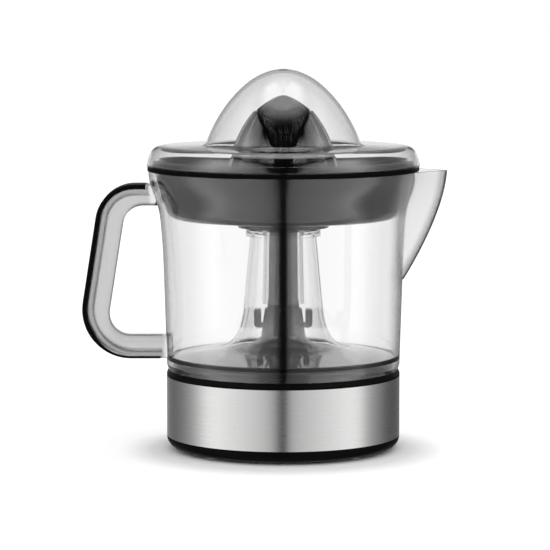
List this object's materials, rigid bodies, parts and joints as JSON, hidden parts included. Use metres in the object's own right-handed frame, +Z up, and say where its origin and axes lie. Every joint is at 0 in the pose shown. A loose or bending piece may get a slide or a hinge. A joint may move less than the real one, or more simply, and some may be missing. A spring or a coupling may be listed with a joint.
{
  "type": "citrus press juicer",
  "caption": "Electric citrus press: steel motor base, clear jug with spout and loop handle, strainer, nested cones and a domed cover.",
  "frame": {"origin": "on the drive axis, at the surface that the foot ring stands on", "axes": "+Z up along the drive axis, +X towards the spout, so the handle is at -X"},
  "size_m": [0.2245, 0.168, 0.2341],
  "materials": {
    "clear_plastic": "clear polished plastic",
    "smoked_plastic": "smoked clear polished plastic",
    "dark_grey_plastic": "dark grey satin plastic",
    "black_plastic": "black satin plastic",
    "black_rubber": "black rubber",
    "brushed_steel": "brushed stainless steel",
    "bright_steel": "zinc plated steel",
    "laminated_steel": "stacked steel sheets",
    "copper_wire": "enamelled copper wire",
    "ferrite": "ferrite magnet",
    "white_nylon": "white nylon",
    "bronze": "sintered bronze",
    "switch_plastic": "dark switch body"
  },
  "bodies": {
    "base": {"steel_sleeve": "brushed_steel", "motor_housing": "black_plastic", "bottom_cover": "black_plastic", "foot_ring": "black_rubber", "cover_screws": "bright_steel", "deck_screws": "bright_steel", "cord_gland": "black_plastic", "top_deck": "dark_grey_plastic", "gear_plate": "bright_steel", "plate_screws": "bright_steel", "stator_core": "laminated_steel", "stator_screws": "bright_steel", "stator_spacers": "bright_steel", "coil_bobbins": "white_nylon", "coil_windings": "copper_wire", "rotor_bush_lower": "bronze", "rotor_bush_upper": "bronze", "idler_axle": "bright_steel", "spindle_bush_lower": "bronze", "spindle_bush_upper": "bronze", "spindle_seal": "black_rubber", "microswitch": "switch_plastic", "return_spring": "bright_steel"},
    "jug": {"jug": "clear_plastic", "handle_grip": "black_plastic"},
    "strainer": {"strainer": "dark_grey_plastic", "rim_gasket": "black_rubber"},
    "dust_cover": {"dust_cover": "smoked_plastic"},
    "hub_bush": {"hub_bush": "white_nylon"},
    "small_cone": {"small_cone": "dark_grey_plastic", "drive_stem": "dark_grey_plastic", "stem_clip": "bright_steel"},
    "large_cone": {"large_cone": "dark_grey_plastic"},
    "press_cup": {"press_cup": "white_nylon"},
    "spindle": {"drive_spindle": "bright_steel", "spindle_clip": "bright_steel"},
    "output_gear": {"output_gear": "white_nylon"},
    "idler": {"idler_gear": "white_nylon"},
    "rotor": {"rotor_magnet": "ferrite", "rotor_shaft": "bright_steel", "motor_pinion": "white_nylon"},
    "switch_plunger": {"switch_plunger": "switch_plastic"}
  },
  "joints": [
    {"name": "jug_lift", "type": "slide", "parent": "base", "child": "jug", "axis": [0, 0, 1], "range_m": [0, 0.08]},
    {"name": "strainer_lift", "type": "slide", "parent": "jug", "child": "strainer", "axis": [0, 0, 1], "range_m": [0, 0.09]},
    {"name": "cover_lift", "type": "slide", "parent": "strainer", "child": "dust_cover", "axis": [0, 0, 1], "range_m": [0, 0.05]},
    {"name": "cone_press", "type": "slide", "parent": "strainer", "child": "hub_bush", "axis": [0, 0, -1], "range_m": [0, 0.002]},
    {"name": "cone_spin", "type": "hinge", "parent": "hub_bush", "child": "small_cone", "pos_m": [0, 0, 0.145], "axis": [0, 0, 1], "continuous": true},
    {"name": "large_cone_lift", "type": "slide", "parent": "small_cone", "child": "large_cone", "axis": [0, 0, 1], "range_m": [0, 0.012]},
    {"name": "spindle_press", "type": "slide", "parent": "base", "child": "press_cup", "axis": [0, 0, -1], "range_m": [0, 0.002], "stiffness_N_per_m": 1500, "springref_m": -0.004, "deforming": ["return_spring"]},
    {"name": "spindle_spin", "type": "hinge", "parent": "press_cup", "child": "spindle", "pos_m": [0, 0, 0.02], "axis": [0, 0, 1], "continuous": true},
    {"name": "output_gear_spin", "type": "hinge", "parent": "base", "child": "output_gear", "pos_m": [0, 0, 0.042], "axis": [0, 0, 1], "continuous": true},
    {"name": "idler_spin", "type": "hinge", "parent": "base", "child": "idler", "pos_m": [-0.01495, 0.03087, 0.038], "axis": [0, 0, 1], "continuous": true},
    {"name": "rotor_spin", "type": "hinge", "parent": "base", "child": "rotor", "pos_m": [-0.038, 0.01692, 0.02], "axis": [0, 0, 1], "continuous": true},
    {"name": "plunger_press", "type": "slide", "parent": "base", "child": "switch_plunger", "axis": [0, 0, -1], "range_m": [0, 0.002]}
  ],
  "couplings": [
    {"joint": "spindle_press", "follows": "cone_press", "ratio": 1},
    {"joint": "plunger_press", "follows": "cone_press", "ratio": 1},
    {"joint": "spindle_spin", "follows": "cone_spin", "ratio": 1},
    {"joint": "output_gear_spin", "follows": "cone_spin", "ratio": 1},
    {"joint": "idler_spin", "follows": "cone_spin", "ratio": -6},
    {"joint": "rotor_spin", "follows": "cone_spin", "ratio": 27}
  ]
}
